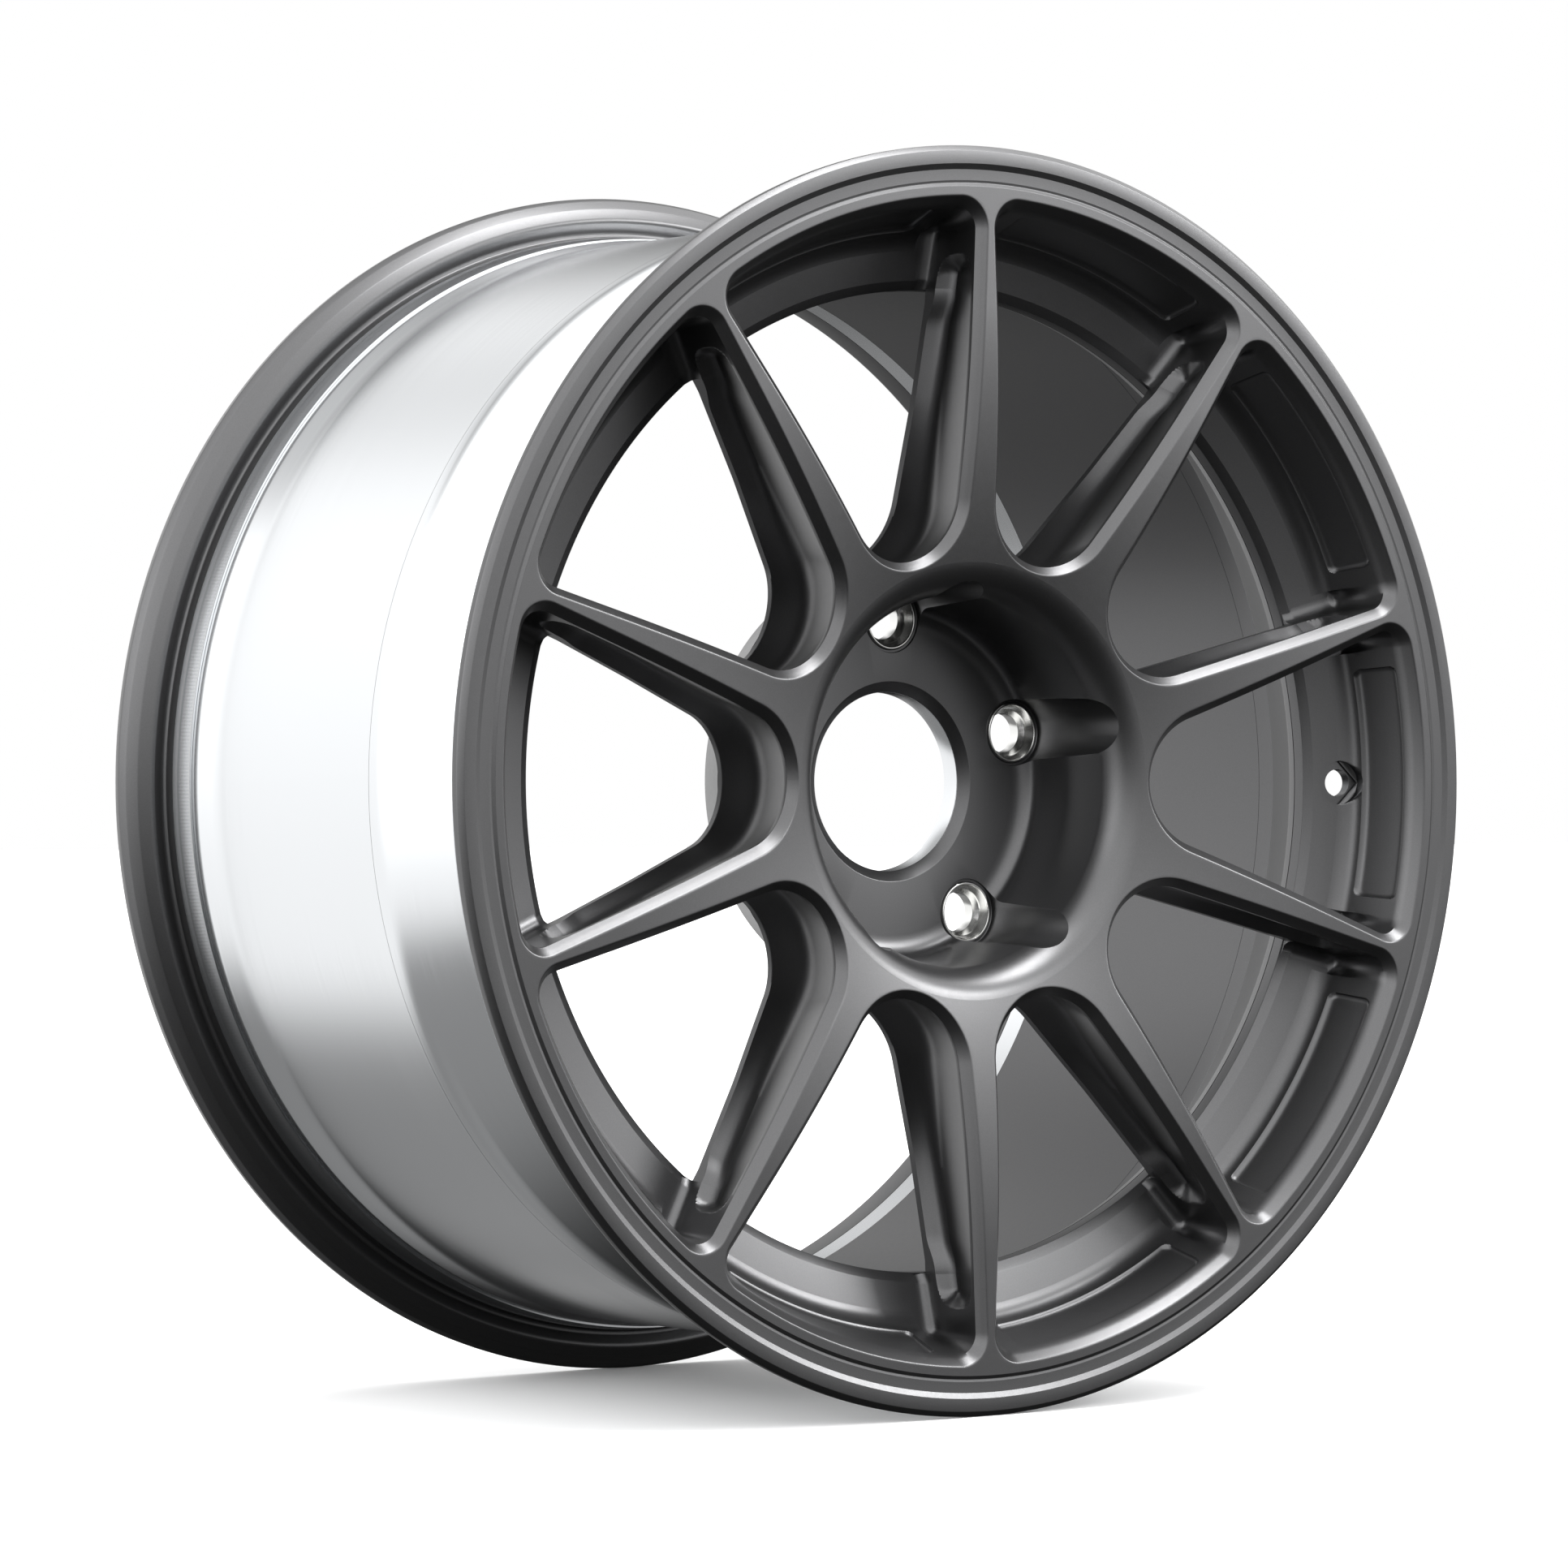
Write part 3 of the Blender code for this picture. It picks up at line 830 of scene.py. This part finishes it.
# %% Half a spoke
FACE_POINTS = 8
BACK_POINTS = 4
grid = []
for place, inward, far, wall, on_band in rows:
    edge = section(place, inward, wall, on_band)
    start = place + inward * edge[0][0]
    line = []
    for k in range(FACE_POINTS):
        plan = far.lerp(start, k / FACE_POINTS)
        line.append((plan.x, plan.y, face_depth(plan.length * MM) / MM))
    for inset, depth in edge:
        plan = place + inward * inset
        line.append((plan.x, plan.y, depth))
    last = Vector(line[-1][:2])
    if on_band:
        line += [line[-1]] * BACK_POINTS
    else:
        if place.x < side_start and last.length > 92:
            target = polar(92, max(math.atan2(last.y, last.x), 0))
        elif last.length <= 92:
            target = last
        else:
            target = Vector((max(spine(place.x), 92.0), 0))
        for k in range(1, BACK_POINTS + 1):
            plan = last.lerp(target, k / BACK_POINTS)
            line.append((plan.x, plan.y, back_depth(plan.length)))
    grid.append(line)

points = [Vector(point) * MM for line in grid for point in line]
wide = len(grid[0])
faces = []
for i in range(len(grid) - 1):
    for k in range(wide - 1):
        a = i * wide + k
        faces.append((a, a + wide, a + wide + 1, a + 1))

spoke_mesh = bpy.data.meshes.new("spoke")
halves = [[to_world(p.x, p.y * side, p.z) for p in points] for side in (1, -1)]
both = faces + [tuple(len(points) + v for v in reversed(face)) for face in faces]
spoke_mesh.from_pydata(halves[0] + halves[1], [], both)
pattern = bpy.data.objects.new("spoke_pattern", spoke_mesh)
bpy.context.collection.objects.link(pattern)
select_only(pattern)
bpy.ops.object.mode_set(mode="EDIT")
bpy.ops.mesh.select_all(action="SELECT")
bpy.ops.mesh.remove_doubles(threshold=0.004 * MM)
bpy.ops.mesh.dissolve_degenerate(threshold=0.004 * MM)
bpy.ops.mesh.normals_make_consistent(inside=False)
bpy.ops.object.mode_set(mode="OBJECT")
bpy.ops.object.shade_smooth_by_angle(angle=math.radians(22))
give_finish(pattern, anthracite)
bpy.data.objects.remove(pattern, do_unlink=True)
print(f"one spoke: {len(spoke_mesh.polygons)} faces")

# %% [markdown]
# Room for the valve
#
# The drill that cuts the valve's spot face also bites into the hollow at the foot of the wall. Half of it falls on
# each of two spoke pieces. They are open sheets, where they run into the hub and the rim, and a Boolean is only
# sure of its cut on closed pieces. So every point of them that lies inside the drill is moved straight out to its
# side. That leaves nearly the round wall that the drill would, a little uneven along its edge.


# %% Ten spokes
SPOT_DEPTH = 3 * MM
valve_point = to_world(*VALVE_AT)
valve_axis = to_world(-math.sin(VALVE_TILT), 0, math.cos(VALVE_TILT))
outward_side = to_world(math.cos(VALVE_TILT), 0, math.sin(VALVE_TILT))


def clear_of_valve(mesh):
    for vertex in mesh.vertices:
        offset = vertex.co - valve_point
        along_axis = offset.dot(valve_axis)
        aside = offset - along_axis * valve_axis
        if aside.length < SPOT_RADIUS and along_axis > -SPOT_DEPTH:
            side = aside.normalized() if aside.length > 0.01 * MM else outward_side
            vertex.co = valve_point + along_axis * valve_axis + SPOT_RADIUS * side


for number in range(SPOKES):
    mesh = spoke_mesh.copy()
    angle = math.pi / 2 + 2 * HALF_PITCH * number
    mesh.transform(Matrix.Rotation(-angle, 4, "Y"))
    clear_of_valve(mesh)
    name = f"spoke_{number + 1:02d}"
    spoke = bpy.data.objects.new(name + "_forged", mesh)
    bpy.context.collection.objects.link(spoke)
    belongs(spoke, "paint", name)
print(SPOKES, "spokes placed")

# %% [markdown]
# Floor, light and camera
#
# A wheel like this is shown on a white sweep. Satin paint and turned metal show little but what they reflect, so
# the studio matters as much as the finish. A few lamps would show as hard shapes in the barrel. Instead the whole
# surround glows softly: white low at the left and behind, which fills the barrel with one broad band, and grey
# above and below that; bright above the front for the top of the lip; and dim underneath. The floor glows a little,
# is seen and takes the shadow, but the wheel doesn't reflect it, or its dark side would turn grey.

# %% Floor
bpy.ops.object.select_all(action="DESELECT")
bpy.ops.mesh.primitive_plane_add(size=60.0, location=(0, 0, -RIM))
floor = bpy.context.object
floor.name = "floor"
floor.visible_diffuse = False
floor.visible_glossy = False
white, tree, shader = new_material("white_floor", "#ffffff", 0.0, 0.9)
shader.inputs["Emission Color"].default_value = (1, 1, 1, 1)
shader.inputs["Emission Strength"].default_value = 0.05
floor.data.materials.append(white)

# %% Studio surround
world = bpy.data.worlds.new("studio")
bpy.context.scene.world = world
world.use_nodes = True
tree = world.node_tree
tree.nodes.clear()
direction = add_node(tree, "ShaderNodeTexCoord").outputs["Generated"]
toward = add_node(tree, "ShaderNodeSeparateXYZ", links={"Vector": direction}).outputs


def ramp(source, start, end, low, high):
    """A smooth rise or fall of brightness between two directions."""
    limits = {"From Min": start, "From Max": end, "To Min": low, "To Max": high}
    return add_node(
        tree, "ShaderNodeMapRange", {"interpolation_type": "SMOOTHSTEP", **limits}, {"Value": source}
    ).outputs["Result"]


def combine(operation, one, other):
    made = add_node(tree, "ShaderNodeMath", {"operation": operation})
    tree.links.new(one, made.inputs[0])
    tree.links.new(other, made.inputs[1])
    return made.outputs["Value"]


above = combine("MULTIPLY", ramp(toward["Z"], -0.3, 0.4, 0.03, 1.9), ramp(toward["Y"], 0.2, 0.8, 1.0, 0.08))
low_band = combine("MULTIPLY", ramp(toward["Z"], -0.5, -0.34, 0.28, 1.2), ramp(toward["Z"], 0.48, 0.66, 1.0, 0.27))
left_and_behind = ramp(combine("SUBTRACT", toward["Y"], toward["X"]), 0.2, 0.7, 0.0, 1.0)
glow = combine("ADD", above, combine("MULTIPLY", low_band, left_and_behind))
lit = add_node(tree, "ShaderNodeBackground", {"Color": (1, 1, 1, 1)}, {"Strength": glow})
seen = add_node(tree, "ShaderNodeBackground", {"Color": (1, 1, 1, 1), "Strength": 1.0})
camera_ray = add_node(tree, "ShaderNodeLightPath").outputs["Is Camera Ray"]
surround = add_node(tree, "ShaderNodeMixShader", links={"Fac": camera_ray})
tree.links.new(lit.outputs["Background"], surround.inputs[1])
tree.links.new(seen.outputs["Background"], surround.inputs[2])
add_node(tree, "ShaderNodeOutputWorld", links={"Surface": surround.outputs["Shader"]})


# %% Lamps
def softbox(name, at, size, power):
    """A square panel that faces the wheel, for the shadow and for crisp lines along the edges."""
    light = bpy.data.lights.new(name, "AREA")
    light.size = size
    light.energy = power
    lamp = bpy.data.objects.new(name, light)
    lamp.location = at
    lamp.rotation_euler = (-Vector(at)).to_track_quat("-Z", "Y").to_euler()
    lamp.visible_camera = False
    bpy.context.collection.objects.link(lamp)


softbox("overhead", (0.9, -0.9, 3.0), 1.6, 90)
softbox("front_right", (2.6, -2.4, 1.5), 1.2, 60)
print("lights placed")

# %% Camera
CAMERA_AT = (-1.4157, -1.9159, -0.0123)
LOOK = Vector((0.59217, 0.80579, 0.00486))
LENS = 133.9
camera_data = bpy.data.cameras.new("camera")
camera_data.lens = LENS
camera_data.sensor_width = 36
camera_data.clip_end = 200
camera = bpy.data.objects.new("camera", camera_data)
camera.location = CAMERA_AT
camera.rotation_euler = LOOK.to_track_quat("-Z", "Y").to_euler()
bpy.context.collection.objects.link(camera)
bpy.context.scene.camera = camera
bpy.context.scene.view_settings.view_transform = "Standard"
